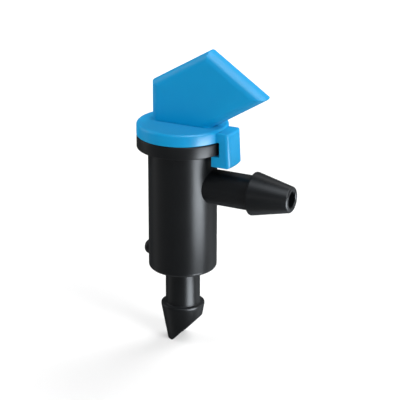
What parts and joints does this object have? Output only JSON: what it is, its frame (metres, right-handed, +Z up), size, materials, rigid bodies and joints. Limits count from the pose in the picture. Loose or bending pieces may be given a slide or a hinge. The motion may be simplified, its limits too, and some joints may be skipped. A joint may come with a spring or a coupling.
{
  "type": "drip emitter",
  "caption": "Take-apart drip emitter: a black barrel with a self-piercing inlet barb and a side outlet barb, closed by a blue twist-lock cap with an arrow-shaped finger flag.",
  "frame": {"origin": "on the barrel's axis, in the plane of the inlet barb's shoulder, where the supply tube's wall seats", "axes": "+Z up the barrel to the flag, +X along the outlet barb, +Y to the release notch in the flange"},
  "size_m": [0.021, 0.0116, 0.0392],
  "materials": {
    "body_black": "satin, moulded polypropylene",
    "cap_blue": "semi-gloss, moulded polypropylene"
  },
  "bodies": {
    "body": {"emitter_body": "body_black"},
    "cap": {"flag_cap": "cap_blue"}
  },
  "joints": [
    {"name": "cap_twist", "type": "hinge", "parent": "body", "child": "cap", "pos_m": [0, 0, 0], "axis": [0, 0, 1], "range_deg": [0, 90]}
  ]
}
